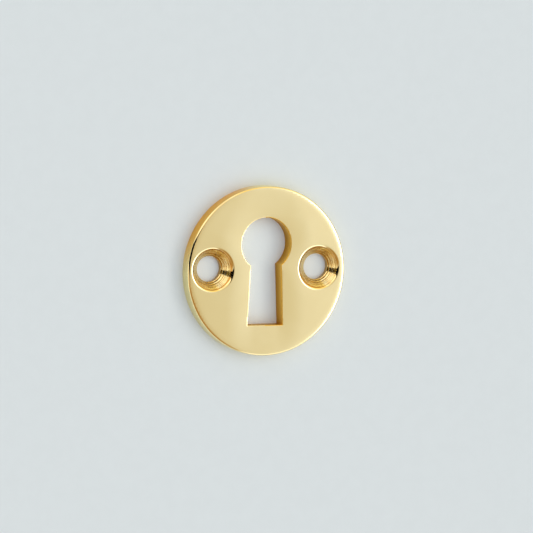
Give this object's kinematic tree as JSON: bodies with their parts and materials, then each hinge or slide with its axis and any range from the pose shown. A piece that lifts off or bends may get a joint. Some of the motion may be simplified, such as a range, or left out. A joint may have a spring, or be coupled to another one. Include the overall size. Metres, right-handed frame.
{
  "type": "keyhole escutcheon",
  "caption": "Round polished brass plate with an open keyhole and countersunk screw holes at its sides, which covers the keyhole of a door or drawer lock",
  "frame": {"origin": "middle of the flat back face, on the axis of the round plate", "axes": "+Z is the outward normal of the polished front face, +Y points to the round end of the keyhole, +X points to the right as the front face is seen"},
  "size_m": [0.032, 0.032, 0.0031],
  "materials": {
    "polished_brass": "polished"
  },
  "bodies": {
    "root": {"escutcheon_plate": "polished_brass"}
  },
  "joints": []
}
